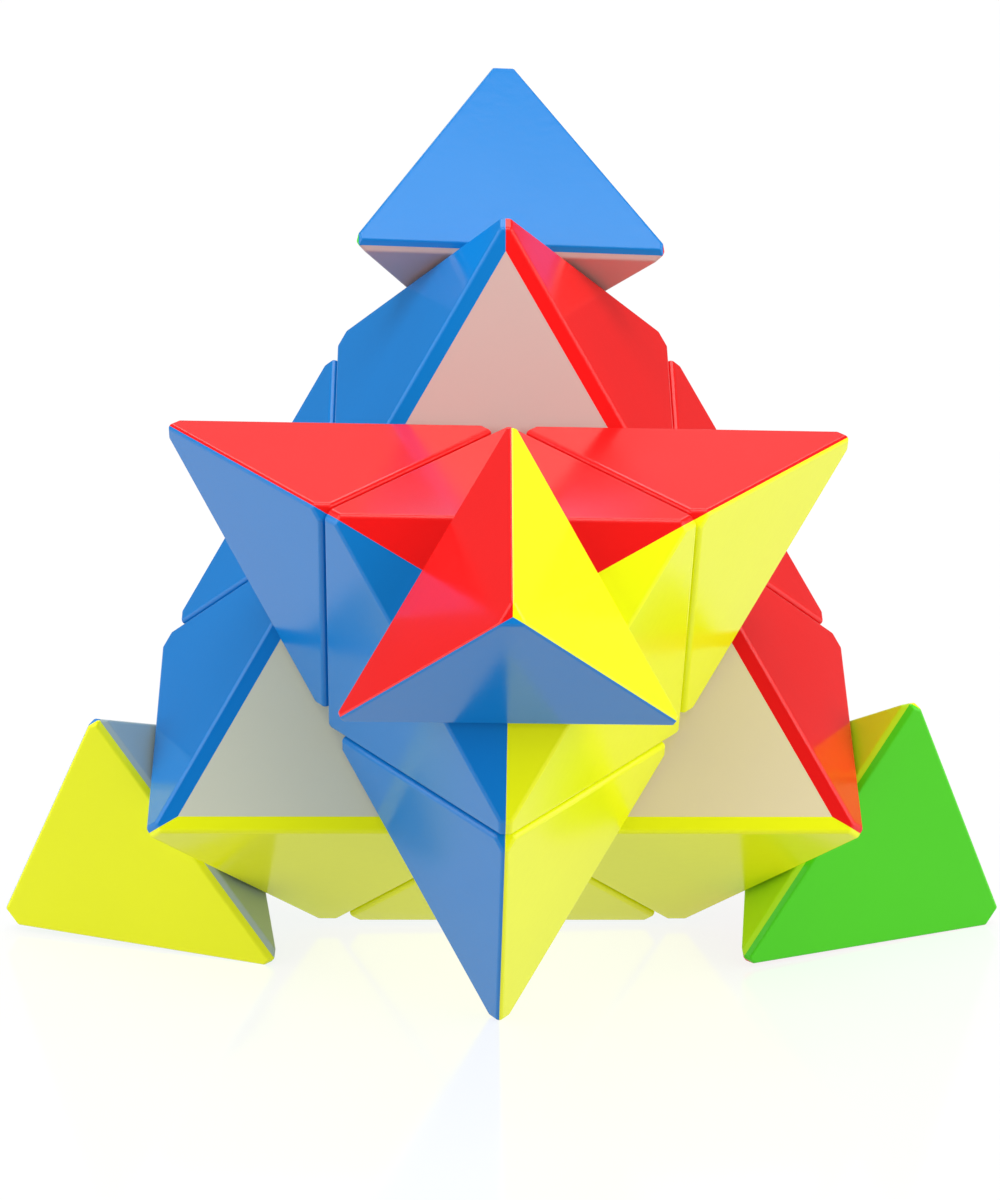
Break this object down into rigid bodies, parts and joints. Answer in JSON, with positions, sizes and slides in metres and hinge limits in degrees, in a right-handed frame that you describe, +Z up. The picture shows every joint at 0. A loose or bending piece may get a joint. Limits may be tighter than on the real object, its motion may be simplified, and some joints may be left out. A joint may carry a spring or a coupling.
{
  "type": "pyramid twisty puzzle",
  "caption": "Four-coloured tetrahedral twisty puzzle, one layer and the tips part-turned, standing on three of its corners.",
  "frame": {"origin": "centre of the bounding box at the surface the puzzle stands on", "axes": "+Z up, -Y towards the turned front layer, +X to the right seen from the front"},
  "size_m": [0.1024, 0.0964, 0.0864],
  "materials": {
    "red": "smooth moulded ABS, coloured through",
    "blue": "smooth moulded ABS, coloured through",
    "yellow": "smooth moulded ABS, coloured through",
    "green": "smooth moulded ABS, coloured through",
    "inner": "satin moulded ABS, off-white",
    "stone": "satin moulded ABS, stone grey",
    "sand": "satin moulded ABS, sand",
    "olive": "satin moulded ABS, olive yellow",
    "slate": "satin moulded ABS, blue grey",
    "blush": "satin moulded ABS, warm off-white",
    "core": "satin moulded nylon",
    "screw": "zinc plated",
    "spring": "bright wire",
    "washer": "zinc plated"
  },
  "bodies": {
    "base_layer": {"core": "core", "top_axial": "blush", "top_axial_green_cap": "green", "top_axial_blue_cap": "blue", "top_axial_red_cap": "red", "left_axial": "stone", "left_axial_green_cap": "green", "left_axial_yellow_cap": "yellow", "left_axial_blue_cap": "blue", "right_axial": "sand", "right_axial_green_cap": "green", "right_axial_red_cap": "red", "right_axial_yellow_cap": "yellow", "top_left_edge": "inner", "top_left_edge_green_cap": "green", "top_left_edge_blue_cap": "blue", "left_right_edge": "inner", "left_right_edge_green_cap": "green", "left_right_edge_yellow_cap": "yellow", "right_top_edge": "inner", "right_top_edge_green_cap": "green", "right_top_edge_red_cap": "red", "screws": "screw", "springs": "spring", "washers": "washer"},
    "front_layer": {"front_axial": "inner", "front_axial_yellow_cap": "yellow", "front_axial_red_cap": "red", "front_axial_blue_cap": "blue", "front_top_edge": "inner", "front_top_edge_red_cap": "red", "front_top_edge_blue_cap": "blue", "front_left_edge": "inner", "front_left_edge_yellow_cap": "yellow", "front_left_edge_blue_cap": "blue", "front_right_edge": "inner", "front_right_edge_yellow_cap": "yellow", "front_right_edge_red_cap": "red"},
    "front_tip": {"front_tip_base": "inner", "front_tip_yellow_cap": "yellow", "front_tip_red_cap": "red", "front_tip_blue_cap": "blue"},
    "top_tip": {"top_tip_base": "blush", "top_tip_green_cap": "green", "top_tip_blue_cap": "blue", "top_tip_red_cap": "red"},
    "left_tip": {"left_tip_base": "slate", "left_tip_green_cap": "green", "left_tip_yellow_cap": "yellow", "left_tip_blue_cap": "blue"},
    "right_tip": {"right_tip_base": "olive", "right_tip_green_cap": "green", "right_tip_red_cap": "red", "right_tip_yellow_cap": "yellow"}
  },
  "joints": [
    {"name": "front_layer_turn", "type": "hinge", "parent": "base_layer", "child": "front_layer", "pos_m": [0.0002, 0.01187, 0.03479], "axis": [0, -0.9672, 0.2539], "continuous": true},
    {"name": "front_tip_turn", "type": "hinge", "parent": "front_layer", "child": "front_tip", "pos_m": [0.0002, 0.01187, 0.03479], "axis": [0, -0.9672, 0.2539], "continuous": true},
    {"name": "top_tip_turn", "type": "hinge", "parent": "base_layer", "child": "top_tip", "pos_m": [0.0002, 0.01187, 0.03479], "axis": [0.0069, 0.5618, 0.8272], "continuous": true},
    {"name": "left_tip_turn", "type": "hinge", "parent": "base_layer", "child": "left_tip", "pos_m": [0.0002, 0.01187, 0.03479], "axis": [-0.8199, 0.2042, -0.5348], "continuous": true},
    {"name": "right_tip_turn", "type": "hinge", "parent": "base_layer", "child": "right_tip", "pos_m": [0.0002, 0.01187, 0.03479], "axis": [0.813, 0.2012, -0.5464], "continuous": true}
  ]
}
